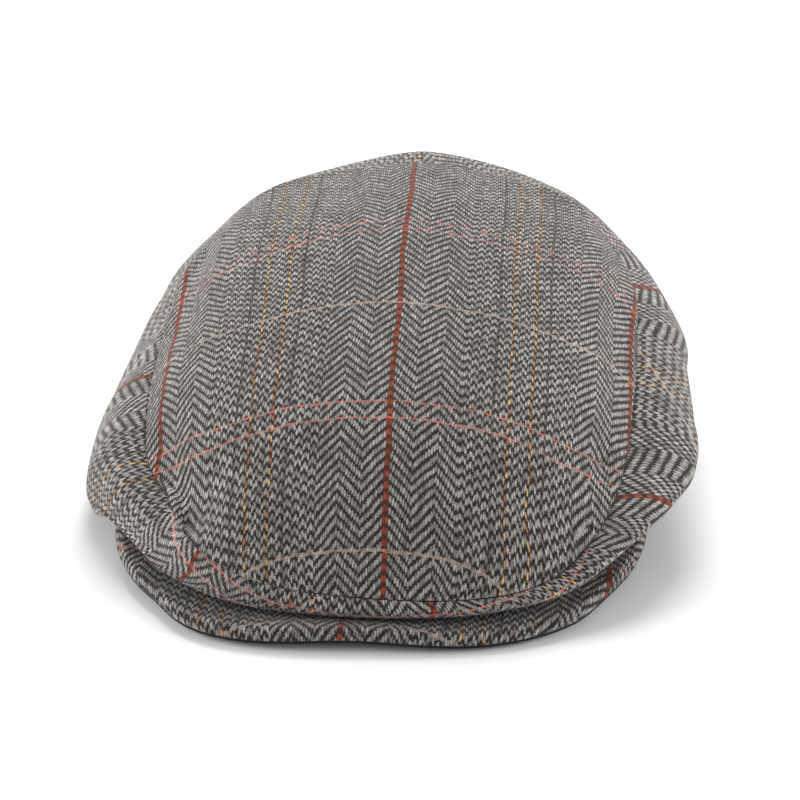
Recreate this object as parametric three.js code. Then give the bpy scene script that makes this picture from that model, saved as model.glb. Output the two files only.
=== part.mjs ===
// Tweed flat cap in millimetres, +Z up, front towards -Y, hem on the ground plane.
// Four sewn pieces: top panel, side band, and the upper and lower cloth of the peak.
import * as THREE from "three";

// Driving dimensions
const CLOTH = 2.4; // wall of the crown pieces
const PEAK_CLOTH = 2.5; // wall of each peak leaf
const SEAM_GAP = 0.4; // clearance between pieces that are sewn together
const HEM_HALF_WIDTH = 82.5;
const HEM_HALF_LENGTH = 99;
const HEM_CENTRE_BACK = 20; // hem oval sits this far behind the middle of the cap
const CROWN_HALF_WIDTH = 112; // at the fullest part of the side band
const CROWN_HALF_LENGTH = 136; // from the middle of the cap to the back of the band
const CROWN_HEIGHT = 84;
const CROWN_SLUMP = 2.4; // the soft crown leans this far to its left at the top
const BAND_HEIGHT = 29; // height of the fullest part of the band at the back
const FULL_SHIFT = 3; // the sides of the band's fullest part are shifted by this along X
const FULL_SAG = 5.5; // and hangs this much lower on its right side than in the middle
const UNDER_SHIFT = -9; // the same for the band's underside
const UNDER_SAG = 5;
const HEM_SET_OVER = -2.3; // the hem and the peak are shifted by this along X
const PANEL_HALF_WIDTH = 94; // top panel, seam to seam
const PANEL_HALF_LENGTH = 128;
const LIP_CLEARANCE = 2.4; // open gap between the front lip and the peak
const PEAK_HALF_WIDTH = 97;
const PEAK_REACH = 136; // front of the peak from the middle of the cap
const PEAK_WIDEST = 50; // the peak is widest this far in front of the middle
const PEAK_CORNER_LIFT = 4.5; // how far the peak curls up at its corners
const PEAK_SQUARENESS = 2.6; // exponent of the peak's outline
const PEAK_END_ANGLE = 60; // the peak's ends meet the hem here, degrees from the front
const PEAK_CURL = 2.5; // exponent of the lift from the middle to the corners
const PEAK_ENDS = 0.985; // the leaves are cut square at this share of their full span
const RIM_FRONT_SHARE = 0.8; // share of the rim from its middle to the widest place
const HEM_DROP_START = 3; // behind the peak's ends the hem stays up for so many degrees
const HEM_DROP = 12; // and comes down to the ground over so many more
const PEAK_FADE = 0.15; // beside the peak the band's clearance fades over this share
const RIM_ROUNDING = 1.0; // the leaves draw in by this much at the rim
const MITRE_STRETCH = 1.1; // the seam's edges are this much deeper than the cloth

// Sections of the side band from centre front to centre back, one side.
// seam, full and under are points of the outer surface as shares: across of
// the named half width, along of the half length (negative is forward), up of
// the named height. hem is the place on the hem oval in degrees from the front.
const SECTIONS = [
  { seam: [0.0, -0.995, 0.195], full: [0.0, -0.956, 0.41], under: [0.0, -0.934, 0.27], hem: 0 },
  { seam: [0.412, -0.973, 0.232], full: [0.37, -0.926, 0.48], under: [0.36, -0.901, 0.28], hem: 19 },
  { seam: [0.68, -0.875, 0.32], full: [0.62, -0.831, 0.62], under: [0.6, -0.79, 0.3], hem: 32 },
  { seam: [0.845, -0.727, 0.38], full: [0.82, -0.676, 0.72], under: [0.75, -0.618, 0.33], hem: 44 },
  { seam: [0.92, -0.531, 0.44], full: [0.965, -0.49, 0.76], under: [0.87, -0.456, 0.38], hem: 54.6 },
  { seam: [0.943, -0.273, 0.51], full: [1.0, -0.309, 0.86], under: [0.9, -0.279, 0.34], hem: 66 },
  { seam: [0.94, 0.039, 0.575], full: [0.985, 0.015, 0.93], under: [0.875, 0.015, 0.24], hem: 82 },
  { seam: [0.915, 0.34, 0.62], full: [0.91, 0.353, 0.97], under: [0.81, 0.338, 0.17], hem: 102.6 },
  { seam: [0.8, 0.57, 0.67], full: [0.745, 0.68, 1.0], under: [0.665, 0.632, 0.17], hem: 124.5 },
  { seam: [0.56, 0.735, 0.8], full: [0.455, 0.919, 1.0], under: [0.393, 0.853, 0.17], hem: 150 },
  { seam: [0.0, 0.785, 0.87], full: [0.0, 1.0, 1.0], under: [0.0, 0.926, 0.17], hem: 180 },
];
const SHOULDER_SWELL = 0.1; // the band swells out between seam and fullest part
const BACK_SWELL = 0.09; // and by this much more at the centre back
const BACK_SWELL_POWER = 7;

// Ridge line of the top panel from front seam to back seam: place is the share
// of the way back, along of the panel's half length, up of the crown height.
const RIDGE = [
  { place: 0.0, along: -0.995, up: 0.195 },
  { place: 0.06, along: -0.93, up: 0.345 },
  { place: 0.14, along: -0.8, up: 0.56 },
  { place: 0.28, along: -0.57, up: 0.775 },
  { place: 0.47, along: -0.18, up: 0.945 },
  { place: 0.68, along: 0.24, up: 0.998 },
  { place: 0.88, along: 0.6, up: 0.925 },
  { place: 1.0, along: 0.785, up: 0.87 },
];
const PANEL_FULLNESS = 2.3; // exponent of the panel's rise from side seam to ridge
const FRONT_CORNER = 2.0; // the panel's corners, counted in sections of the band
const BACK_CORNER = 8.6;
const FRONT_EASE = 9; // dents fade towards the panel's front seam at this rate
const SIDE_EASE = 5; // and towards its side seams at this one

// Dents and folds pressed into the crown, each a soft line between two points:
// shares of the crown's half width and half length, depth and spread of CLOTH.
const DENTS = [
  { from: [-0.7, -0.45], to: [-0.52, -0.72], depth: 1.7, spread: 5.5 },
  { from: [-0.74, 0.3], to: [-0.8, -0.05], depth: 1.7, spread: 4.6 },
  { from: [0.7, -0.52], to: [0.54, -0.72], depth: 1.3, spread: 4.6 },
  { from: [0.8, 0.1], to: [0.84, -0.12], depth: 1.5, spread: 4.2 },
  { from: [0.1, 0.45], to: [0.05, 0.72], depth: -0.8, spread: 7.5 },
];
const BAND_DENT = 0.6; // share of a dent's depth that the band takes over from the seam
const BAND_DENT_IN = 0.15; // share of the way down where it has come in
const BAND_DENT_OUT = [0.42, 0.62]; // and where it fades out again

// Mesh steps
const FRONT_STEPS = 16; // across the panel's front and back edges
const SIDE_STEPS = 22; // along the panel's side edges
const BAND_STEPS = 12; // down the band from seam to hem
const PEAK_STEPS = 34; // along the peak
const PEAK_ROWS = [0, 0.3, 0.6, 0.85, 0.95, 1]; // shares of the way from root to rim
const RIM_ROUNDING_POWER = 12;
const MITRE_PASSES = 3; // times that the seam's mitres are averaged

const PEAK_STACK = 2 * PEAK_CLOTH + SEAM_GAP;
const BACK_CENTRE = SECTIONS.length - 1;

function toRadians(degrees) {
  return (degrees * Math.PI) / 180;
}

function smoothStep(value) {
  const t = Math.min(Math.max(value, 0), 1);
  return t * t * (3 - 2 * t);
}

function hemPoint(degrees, inset = 0) {
  const angle = toRadians(degrees);
  const x = (HEM_HALF_WIDTH - inset) * Math.sin(angle);
  const y = HEM_CENTRE_BACK - (HEM_HALF_LENGTH - inset) * Math.cos(angle);
  return new THREE.Vector3(x, y, 0);
}

// The underside of the peak's lower leaf: flat in the middle, curling up at the corners.
function peakFloor(x) {
  return PEAK_CORNER_LIFT * Math.pow(Math.abs(x) / PEAK_HALF_WIDTH, PEAK_CURL);
}

// The hem passes over the peak's root in front and comes down to the ground behind it.
function hemHeight(degrees) {
  const past = smoothStep((Math.abs(degrees) - PEAK_END_ANGLE - HEM_DROP_START) / HEM_DROP);
  const over = PEAK_STACK + SEAM_GAP + peakFloor(hemPoint(degrees).x);
  return over * (1 - past);
}

// Sideways lean of the crown at a height; the lip and the hem stay in place.
function slumpAt(height) {
  return CROWN_SLUMP * smoothStep((height - BAND_HEIGHT / 2) / (CROWN_HEIGHT - BAND_HEIGHT));
}

// Smooth curve through one point of every section, from back centre round the
// left side to the front and on round the right side.
function loopThrough(pointOfSection) {
  const points = [];
  for (let index = -BACK_CENTRE; index <= BACK_CENTRE; index += 1) {
    const point = pointOfSection(SECTIONS[Math.abs(index)]);
    if (index < 0) point.x = -point.x;
    point.x += slumpAt(point.z);
    points.push(point);
  }
  return points;
}

function sampleLoop(points, place) {
  const clamped = Math.min(Math.max(place + BACK_CENTRE, 0), 2 * BACK_CENTRE);
  const start = Math.min(Math.floor(clamped), 2 * BACK_CENTRE - 1);
  const share = clamped - start;
  const count = points.length - 1;
  const at = (index) => points[((index % count) + count) % count];
  return new THREE.Vector3(
    catmullRom(share, at(start - 1).x, at(start).x, at(start + 1).x, at(start + 2).x),
    catmullRom(share, at(start - 1).y, at(start).y, at(start + 1).y, at(start + 2).y),
    catmullRom(share, at(start - 1).z, at(start).z, at(start + 1).z, at(start + 2).z),
  );
}

function catmullRom(t, before, start, end, after) {
  const leaving = (end - before) / 2;
  const arriving = (after - start) / 2;
  const cubic = 2 * (start - end) + leaving + arriving;
  const square = 3 * (end - start) - 2 * leaving - arriving;
  return ((cubic * t + square) * t + leaving) * t + start;
}

function pointFromShares(shares, halfWidth, halfLength, height) {
  return new THREE.Vector3(shares[0] * halfWidth, shares[1] * halfLength, shares[2] * height);
}

// The soft band hangs a little askew: shifted sideways, and lower on one side.
function hangingLoop(loop, shift, sag) {
  return loop.map((point) => {
    const side = point.x / CROWN_HALF_WIDTH;
    point.x += shift * Math.abs(side);
    point.z += sag * side;
    return point;
  });
}

const SEAM_LOOP = loopThrough((section) =>
  pointFromShares(section.seam, PANEL_HALF_WIDTH, PANEL_HALF_LENGTH, CROWN_HEIGHT));
const FULL_LOOP = hangingLoop(loopThrough((section) =>
  pointFromShares(section.full, CROWN_HALF_WIDTH, CROWN_HALF_LENGTH, BAND_HEIGHT)), FULL_SHIFT, FULL_SAG);
const UNDER_LOOP = hangingLoop(loopThrough((section) =>
  pointFromShares(section.under, CROWN_HALF_WIDTH, CROWN_HALF_LENGTH, BAND_HEIGHT)), UNDER_SHIFT, UNDER_SAG);

function hemAngle(place) {
  const lower = Math.min(Math.floor(Math.abs(place)), BACK_CENTRE - 1);
  const angle = THREE.MathUtils.lerp(SECTIONS[lower].hem, SECTIONS[lower + 1].hem, Math.abs(place) - lower);
  return Math.sign(place) * angle;
}

// How far the peak's top surface reaches up below a point of the crown.
function peakTopBelow(x, y) {
  const ahead = (-PEAK_WIDEST - y) / (PEAK_REACH - PEAK_WIDEST);
  const beyond = Math.max(Math.abs(x) / PEAK_HALF_WIDTH, ahead) - 1;
  const fading = 1 - smoothStep(beyond / PEAK_FADE);
  const wing = 1 - smoothStep((y + PEAK_WIDEST) / HEM_CENTRE_BACK - 1);
  return (PEAK_STACK + peakFloor(Math.min(Math.abs(x), PEAK_HALF_WIDTH))) * fading * wing;
}

function dentAt(x, y) {
  let total = 0;
  for (const dent of DENTS) {
    const start = new THREE.Vector2(dent.from[0] * CROWN_HALF_WIDTH, dent.from[1] * CROWN_HALF_LENGTH);
    const end = new THREE.Vector2(dent.to[0] * CROWN_HALF_WIDTH, dent.to[1] * CROWN_HALF_LENGTH);
    const run = end.clone().sub(start);
    const offset = new THREE.Vector2(x, y).sub(start);
    const share = Math.min(Math.max(offset.dot(run) / run.lengthSq(), 0), 1);
    const distance = offset.distanceTo(run.multiplyScalar(share));
    const spread = dent.spread * CLOTH;
    total += dent.depth * CLOTH * Math.exp(-(distance * distance) / (spread * spread));
  }
  return total;
}

// Outer surface of the side band at a place round the loop and a share of the way down.
function bandPoint(place, down) {
  const seam = sampleLoop(SEAM_LOOP, place);
  const full = sampleLoop(FULL_LOOP, place);
  const under = sampleLoop(UNDER_LOOP, place);
  const angle = hemAngle(place);
  const hem = hemPoint(angle);
  hem.z = hemHeight(angle);
  under.z = Math.max(under.z, peakTopBelow(under.x, under.y) + LIP_CLEARANCE);
  const drop = full.clone().sub(seam);
  const outward = new THREE.Vector3(full.x, full.y - HEM_CENTRE_BACK, 0).normalize();
  const toBack = Math.pow(Math.abs(place) / BACK_CENTRE, BACK_SWELL_POWER);
  const swell = (SHOULDER_SWELL + BACK_SWELL * toBack) * drop.length();
  const shoulder = seam.clone().addScaledVector(drop, 0.5);
  shoulder.addScaledVector(outward, swell);
  shoulder.z += swell;
  const tuck = under.clone().lerp(hem, 0.5);
  const profile = new THREE.CatmullRomCurve3([seam, shoulder, full, under, tuck, hem], false, "centripetal");
  const point = profile.getPoint(down);
  const [fadeStart, fadeEnd] = BAND_DENT_OUT;
  const inner = smoothStep(down / BAND_DENT_IN) * smoothStep((fadeEnd - down) / (fadeEnd - fadeStart));
  point.addScaledVector(outward, -BAND_DENT * dentAt(seam.x, seam.y) * inner);
  const clearance = THREE.MathUtils.lerp(LIP_CLEARANCE, SEAM_GAP, down);
  const floor = peakTopBelow(point.x, point.y) + clearance;
  const isLowerHalf = down > 1 / 2 && down < 1;
  if (isLowerHalf) point.z = Math.max(point.z, floor);
  return point;
}

function ridgeAt(place) {
  let index = 0;
  while (index < RIDGE.length - 2 && place > RIDGE[index + 1].place) index += 1;
  const before = RIDGE[Math.max(index - 1, 0)];
  const start = RIDGE[index];
  const end = RIDGE[index + 1];
  const after = RIDGE[Math.min(index + 2, RIDGE.length - 1)];
  const share = (place - start.place) / (end.place - start.place);
  const along = catmullRom(share, before.along, start.along, end.along, after.along);
  const up = catmullRom(share, before.up, start.up, end.up, after.up);
  return { along: along * PANEL_HALF_LENGTH, up: up * CROWN_HEIGHT };
}

// Points of the seam where a lengthwise line of the top panel starts and ends.
function panelEnds(across) {
  const side = across * 2 - 1;
  const fold = Math.abs(side) * (BACK_CENTRE - BACK_CORNER);
  const front = sampleLoop(SEAM_LOOP, side * FRONT_CORNER);
  const rear = sampleLoop(SEAM_LOOP, (side < 0 ? -1 : 1) * (BACK_CENTRE - fold));
  return { front, rear };
}

// Outer surface of the top panel: a patch stretched between its four seam edges
// and raised to the ridge line in the middle.
function panelPoint(across, back) {
  const { front, rear } = panelEnds(across);
  const place = FRONT_CORNER + (BACK_CORNER - FRONT_CORNER) * back;
  const left = sampleLoop(SEAM_LOOP, -place);
  const right = sampleLoop(SEAM_LOOP, place);
  const frontLeft = sampleLoop(SEAM_LOOP, -FRONT_CORNER);
  const frontRight = sampleLoop(SEAM_LOOP, FRONT_CORNER);
  const rearLeft = sampleLoop(SEAM_LOOP, -BACK_CORNER);
  const rearRight = sampleLoop(SEAM_LOOP, BACK_CORNER);
  const point = front.clone().lerp(rear, back).add(left.clone().lerp(right, across));
  point.sub(frontLeft.lerp(frontRight, across).lerp(rearLeft.lerp(rearRight, across), back));
  const side = Math.abs(across * 2 - 1);
  const rise = 1 - Math.pow(side, PANEL_FULLNESS);
  const middle = panelMiddle(back);
  const ridge = ridgeAt(back);
  point.y += (ridge.along - middle.y) * (1 - side * side);
  point.z += (ridge.up - middle.z) * rise;
  point.x += (slumpAt(ridge.up) - slumpAt(middle.z)) * rise;
  point.z -= dentAt(point.x, point.y) * smoothStep((1 - side) * SIDE_EASE) * smoothStep(back * FRONT_EASE);
  return point;
}

// Middle of the patch before it is raised.
function panelMiddle(back) {
  const front = sampleLoop(SEAM_LOOP, 0);
  const rear = sampleLoop(SEAM_LOOP, BACK_CENTRE);
  const place = FRONT_CORNER + (BACK_CORNER - FRONT_CORNER) * back;
  const side = sampleLoop(SEAM_LOOP, place);
  const frontCorner = sampleLoop(SEAM_LOOP, FRONT_CORNER);
  const rearCorner = sampleLoop(SEAM_LOOP, BACK_CORNER);
  const middle = front.lerp(rear, back);
  middle.y += side.y - THREE.MathUtils.lerp(frontCorner.y, rearCorner.y, back);
  middle.z += side.z - THREE.MathUtils.lerp(frontCorner.z, rearCorner.z, back);
  return middle;
}

// Places round the seam in the order of the panel's edge: front, right, back, left.
function seamPlaces() {
  const places = [];
  for (let i = 0; i < FRONT_STEPS; i += 1) places.push(((2 * i) / FRONT_STEPS - 1) * FRONT_CORNER);
  for (let j = 0; j < SIDE_STEPS; j += 1) {
    places.push(THREE.MathUtils.lerp(FRONT_CORNER, BACK_CORNER, j / SIDE_STEPS));
  }
  const fold = BACK_CENTRE - BACK_CORNER;
  for (let i = 0; i < FRONT_STEPS; i += 1) {
    const side = 1 - (2 * i) / FRONT_STEPS;
    places.push(side > 0 ? BACK_CENTRE - side * fold : -BACK_CENTRE - side * fold);
  }
  for (let j = SIDE_STEPS; j > 0; j -= 1) {
    places.push(-THREE.MathUtils.lerp(FRONT_CORNER, BACK_CORNER, j / SIDE_STEPS));
  }
  return places;
}

// Vertex indices of the panel's edge in the same order as seamPlaces.
function panelEdge() {
  const edge = [];
  const at = (i, j) => j * (FRONT_STEPS + 1) + i;
  for (let i = 0; i < FRONT_STEPS; i += 1) edge.push(at(i, 0));
  for (let j = 0; j < SIDE_STEPS; j += 1) edge.push(at(FRONT_STEPS, j));
  for (let i = FRONT_STEPS; i > 0; i -= 1) edge.push(at(i, SIDE_STEPS));
  for (let j = SIDE_STEPS; j > 0; j -= 1) edge.push(at(0, j));
  return edge;
}

function gridFaces(columns, rows, wraps) {
  const faces = [];
  const width = wraps ? columns : columns + 1;
  for (let j = 0; j < rows; j += 1) {
    for (let i = 0; i < columns; i += 1) {
      const right = wraps ? (i + 1) % columns : i + 1;
      const a = j * width + i;
      const b = j * width + right;
      const c = (j + 1) * width + right;
      const d = (j + 1) * width + i;
      faces.push([a, b, c], [a, c, d]);
    }
  }
  return faces;
}

function vertexNormals(points, faces) {
  const normals = points.map(() => new THREE.Vector3());
  for (const [a, b, c] of faces) {
    const edge = points[b].clone().sub(points[a]);
    const normal = edge.cross(points[c].clone().sub(points[a]));
    for (const index of [a, b, c]) normals[index].add(normal);
  }
  return normals.map((normal) => normal.normalize());
}

// A closed wall between an outer and an inner sheet with the same faces.
// Each edge is a closed ring of vertex indices, in the direction of its faces.
function closedWall(outer, inner, faces, edges) {
  const count = outer.length;
  const indices = [];
  for (const [a, b, c] of faces) indices.push(a, b, c, a + count, c + count, b + count);
  for (const edge of edges) {
    edge.forEach((start, index) => {
      const end = edge[(index + 1) % edge.length];
      indices.push(end, start, start + count, end, start + count, end + count);
    });
  }
  const geometry = new THREE.BufferGeometry();
  geometry.setFromPoints([...outer, ...inner]);
  geometry.setIndex(indices);
  geometry.translate(HEM_SET_OVER, 0, 0);
  geometry.computeVertexNormals();
  return geometry;
}

function buildCrown() {
  const panelOuter = [];
  for (let j = 0; j <= SIDE_STEPS; j += 1) {
    for (let i = 0; i <= FRONT_STEPS; i += 1) {
      panelOuter.push(panelPoint(i / FRONT_STEPS, j / SIDE_STEPS));
    }
  }
  const panelFaces = gridFaces(FRONT_STEPS, SIDE_STEPS, false);
  const panelNormals = vertexNormals(panelOuter, panelFaces);

  const places = seamPlaces();
  const columns = places.length;
  const bandOuter = [];
  for (let k = 0; k <= BAND_STEPS; k += 1) {
    for (const place of places) bandOuter.push(bandPoint(place, k / BAND_STEPS));
  }
  const bandFaces = gridFaces(columns, BAND_STEPS, true).map(([a, b, c]) => [a, c, b]);
  const bandNormals = vertexNormals(bandOuter, bandFaces);

  const panelInner = panelOuter.map((point, i) => point.clone().addScaledVector(panelNormals[i], -CLOTH));
  const bandInner = bandOuter.map((point, i) => point.clone().addScaledVector(bandNormals[i], -CLOTH));

  // The two walls meet along the seam on a mitre, half the seam gap each side of it.
  const edge = panelEdge();
  const mitres = smoothedRing(edge.map((vertex, column) =>
    panelNormals[vertex].clone().add(bandNormals[column]).normalize()));
  const seams = edge.map((vertex) => panelOuter[vertex].clone());
  edge.forEach((vertex, column) => {
    const before = seams[(column + columns - 1) % columns];
    const after = seams[(column + 1) % columns];
    const mitre = mitres[column];
    const inward = mitre.clone().cross(after.clone().sub(before)).normalize();
    const reach = inward.multiplyScalar(SEAM_GAP / 2);
    const inset = mitre.clone().multiplyScalar(-CLOTH * MITRE_STRETCH);
    panelOuter[vertex] = seams[column].clone().add(reach);
    panelInner[vertex] = panelOuter[vertex].clone().add(inset);
    bandOuter[column] = seams[column].clone().sub(reach);
    bandInner[column] = bandOuter[column].clone().add(inset);
  });

  // The hem ends on a flat edge as wide as the cloth.
  places.forEach((place, column) => {
    const vertex = BAND_STEPS * columns + column;
    bandInner[vertex] = hemPoint(hemAngle(place), CLOTH);
    bandInner[vertex].z = bandOuter[vertex].z;
  });
  const hemEdge = Array.from({ length: columns }, (unused, column) => BAND_STEPS * columns + column);
  const bandTop = Array.from({ length: columns }, (unused, column) => column).reverse();
  return {
    panel: closedWall(panelOuter, panelInner, panelFaces, [edge]),
    band: closedWall(bandOuter, bandInner, bandFaces, [bandTop, hemEdge]),
  };
}

// Directions round a closed ring, each averaged with its neighbours.
function smoothedRing(directions) {
  let ring = directions;
  for (let pass = 0; pass < MITRE_PASSES; pass += 1) {
    ring = ring.map((direction, index) => {
      const before = ring[(index + ring.length - 1) % ring.length];
      const after = ring[(index + 1) % ring.length];
      return direction.clone().multiplyScalar(2).add(before).add(after).normalize();
    });
  }
  return ring;
}

// Rim of the peak from its left end (-1) to its right end (1).
function rimPoint(share) {
  const turn = Math.abs(share) / RIM_FRONT_SHARE;
  const side = Math.sign(share);
  const end = hemPoint(PEAK_END_ANGLE, CLOTH);
  if (turn > 1) {
    const bend = ((Math.abs(share) - RIM_FRONT_SHARE) / (1 - RIM_FRONT_SHARE)) * (Math.PI / 2);
    const x = end.x + (PEAK_HALF_WIDTH - end.x) * Math.cos(bend);
    const y = -PEAK_WIDEST + (end.y + PEAK_WIDEST) * Math.sin(bend);
    return new THREE.Vector3(side * x, y, 0);
  }
  const angle = (turn * Math.PI) / 2;
  const power = 2 / PEAK_SQUARENESS;
  const x = side * PEAK_HALF_WIDTH * Math.pow(Math.sin(angle), power);
  const y = -PEAK_WIDEST - (PEAK_REACH - PEAK_WIDEST) * Math.pow(Math.max(Math.cos(angle), 0), power);
  return new THREE.Vector3(x, y, 0);
}

// One leaf of the peak, lying level above the peak's floor.
function buildPeakLeaf(level, isUpper) {
  const top = [];
  const bottom = [];
  const steps = PEAK_STEPS;
  for (const row of PEAK_ROWS) {
    for (let i = 0; i <= steps; i += 1) {
      const share = ((2 * i) / steps - 1) * PEAK_ENDS;
      const root = hemPoint(share * PEAK_END_ANGLE, CLOTH);
      const point = root.lerp(rimPoint(share), row);
      const rounding = RIM_ROUNDING * Math.pow(row, RIM_ROUNDING_POWER);
      const base = peakFloor(point.x) + level;
      const lower = new THREE.Vector3(point.x, point.y, base + (isUpper ? 0 : rounding));
      const upper = new THREE.Vector3(point.x, point.y, base + PEAK_CLOTH - (isUpper ? rounding : 0));
      top.push(upper);
      bottom.push(lower);
    }
  }
  const rows = PEAK_ROWS.length - 1;
  const faces = gridFaces(steps, rows, false).map(([a, b, c]) => [a, c, b]);
  const width = steps + 1;
  const edge = [];
  for (let j = 0; j < rows; j += 1) edge.push(j * width);
  for (let i = 0; i < steps; i += 1) edge.push(rows * width + i);
  for (let j = rows; j > 0; j -= 1) edge.push(j * width + steps);
  for (let i = steps; i > 0; i -= 1) edge.push(i);
  return closedWall(top, bottom, faces, [edge]);
}

function tweed(color) {
  return new THREE.MeshStandardMaterial({ color, roughness: 0.95, metalness: 0 });
}

function namedMesh(name, geometry, material) {
  const mesh = new THREE.Mesh(geometry, material);
  mesh.name = name;
  return mesh;
}

const crown = buildCrown();
const cap = new THREE.Group();
cap.add(namedMesh("top_panel", crown.panel, tweed("#7a7470")));
cap.add(namedMesh("side_band", crown.band, tweed("#76706c")));
cap.add(namedMesh("peak_upper_cloth", buildPeakLeaf(PEAK_CLOTH + SEAM_GAP, true), tweed("#6e6763")));
cap.add(namedMesh("peak_lower_cloth", buildPeakLeaf(0, false), tweed("#2c2b30")));

export default cap;
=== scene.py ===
import math

import bpy
import numpy as np
from bpy.props import FloatProperty, FloatVectorProperty, IntProperty, PointerProperty
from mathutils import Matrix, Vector, noise


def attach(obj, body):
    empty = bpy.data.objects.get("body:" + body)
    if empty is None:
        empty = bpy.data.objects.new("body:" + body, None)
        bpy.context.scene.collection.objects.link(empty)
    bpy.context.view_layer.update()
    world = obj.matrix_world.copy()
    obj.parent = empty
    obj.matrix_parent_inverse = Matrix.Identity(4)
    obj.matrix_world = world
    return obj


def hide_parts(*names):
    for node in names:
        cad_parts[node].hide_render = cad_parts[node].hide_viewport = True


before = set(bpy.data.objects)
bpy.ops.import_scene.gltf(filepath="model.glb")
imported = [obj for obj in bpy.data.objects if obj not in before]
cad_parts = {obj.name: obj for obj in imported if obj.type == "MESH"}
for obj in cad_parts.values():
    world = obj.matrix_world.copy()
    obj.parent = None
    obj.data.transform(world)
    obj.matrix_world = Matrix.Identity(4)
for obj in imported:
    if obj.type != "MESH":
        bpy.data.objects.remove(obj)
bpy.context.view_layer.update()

bl_info = {
    "name": "Tweed flat cap",
    "version": (1, 0, 0),
    "blender": (4, 5, 0),
    "location": "View3D > Sidebar > Flat cap",
    "description": "Builds a herringbone tweed flat cap piece by piece",
    "category": "Add Mesh",
}

# Sections of the side band from centre front to centre back, one side.
# Each point is a share: across of the half width, along of the half length, up of the height.
# The hem is the angle in degrees where the section meets it.
SECTIONS = (
    {"seam": (0.0, -0.995, 0.195), "full": (0.0, -0.956, 0.41), "under": (0.0, -0.934, 0.27), "hem": 0},
    {"seam": (0.412, -0.973, 0.232), "full": (0.37, -0.926, 0.48), "under": (0.36, -0.901, 0.28),
     "hem": 19},
    {"seam": (0.68, -0.875, 0.32), "full": (0.62, -0.831, 0.62), "under": (0.6, -0.79, 0.3), "hem": 32},
    {"seam": (0.845, -0.727, 0.38), "full": (0.82, -0.676, 0.72), "under": (0.75, -0.618, 0.33), "hem": 44},
    {"seam": (0.92, -0.531, 0.44), "full": (0.965, -0.49, 0.76), "under": (0.87, -0.456, 0.38),
     "hem": 54.6},
    {"seam": (0.943, -0.273, 0.51), "full": (1.0, -0.309, 0.86), "under": (0.9, -0.279, 0.34), "hem": 66},
    {"seam": (0.94, 0.039, 0.575), "full": (0.985, 0.015, 0.93), "under": (0.875, 0.015, 0.24), "hem": 82},
    {"seam": (0.915, 0.34, 0.62), "full": (0.91, 0.353, 0.97), "under": (0.81, 0.338, 0.17), "hem": 102.6},
    {"seam": (0.8, 0.57, 0.67), "full": (0.745, 0.68, 1.0), "under": (0.665, 0.632, 0.17), "hem": 124.5},
    {"seam": (0.56, 0.735, 0.8), "full": (0.455, 0.919, 1.0), "under": (0.393, 0.853, 0.17), "hem": 150},
    {"seam": (0.0, 0.785, 0.87), "full": (0.0, 1.0, 1.0), "under": (0.0, 0.926, 0.17), "hem": 180},
)
BACK_CENTRE = len(SECTIONS) - 1

# Ridge line of the top panel: share of the way back, share of the half length, share of the height.
RIDGE_PLACE = (0.0, 0.06, 0.14, 0.28, 0.47, 0.68, 0.88, 1.0)
RIDGE_ALONG = (-0.995, -0.93, -0.8, -0.57, -0.18, 0.24, 0.6, 0.785)
RIDGE_UP = (0.195, 0.345, 0.56, 0.775, 0.945, 0.998, 0.925, 0.87)
FRONT_CORNER = 2.0
BACK_CORNER = 8.6
PANEL_FULLNESS = 2.3
SHOULDER_SWELL = 0.1
BACK_SWELL = 0.09
BACK_SWELL_POWER = 7
DROOP_PLACE = 1.9
DROOP_SPREAD = 1.0

# Soft folds where the band bulges over its seam. Places and spreads are counted in sections,
# negative on the cap's right. The sink is a length and the swell a share of the way down.
FOLDS = (
    {"place": -3.5, "spread": 1.15, "sink": 0.0042, "swell": 0.15},
    {"place": 3.1, "spread": 1.0, "sink": 0.0022, "swell": 0.07},
)

# Pulls on the seam between the crown and the band, as lengths, with places as for the folds.
SEAM_PULLS = (
    {"place": 1.95, "spread": 1.0, "by": (0.0, 0.0, -0.0085)},
    {"place": -3.1, "spread": 0.8, "by": (0.005, 0.007, 0.0)},
)

# Dents pressed into the crown. The ends are shares of its half width and half length,
# and the depth and the spread are in thicknesses of the cloth.
DENTS = (
    {"from": (-0.75, -0.5), "to": (-0.6, -0.72), "depth": 2.3, "spread": 5.0},
    {"from": (-0.74, 0.3), "to": (-0.8, -0.05), "depth": 1.7, "spread": 4.6},
    {"from": (0.7, -0.52), "to": (0.54, -0.72), "depth": 1.3, "spread": 4.6},
    {"from": (0.8, 0.1), "to": (0.84, -0.12), "depth": 1.5, "spread": 4.2},
    {"from": (0.1, 0.45), "to": (0.05, 0.72), "depth": -0.8, "spread": 7.5},
)

# Easing of the pattern on the surfaces, and how the pattern is carried on round a sharp corner
FABRIC_EASE = 0.12
PANEL_PASSES = 260
BAND_PASSES = 60
PEAK_PASSES = 80
CORNER_INSIDE = 0.012
CORNER_OUTSIDE = 0.032

# Small puckers along the seams and slack between them
PUCKER_SIZE = 0.011
PUCKER_REACH = 0.008
SLACK_FROM_SEAM = 0.02
PANEL_SLACK = 0.0007
PANEL_SLACK_SIZE = 0.045
BAND_SLACK = 0.0009
BAND_SLACK_SIZE = 0.04
BAND_SLACK_END = 0.8
BAND_SLACK_FADE = 0.2
PEAK_SLACK = 0.0003
PEAK_SLACK_SIZE = 0.03


def metres(name, description, default):
    return FloatProperty(name=name, description=description, default=default, unit="LENGTH")


def whole_number(name, description, default, least):
    return IntProperty(name=name, description=description, default=default, min=least)


def plain_colour(name, description, default):
    return FloatVectorProperty(
        name=name, description=description, subtype="COLOR", size=3, default=default)


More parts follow.
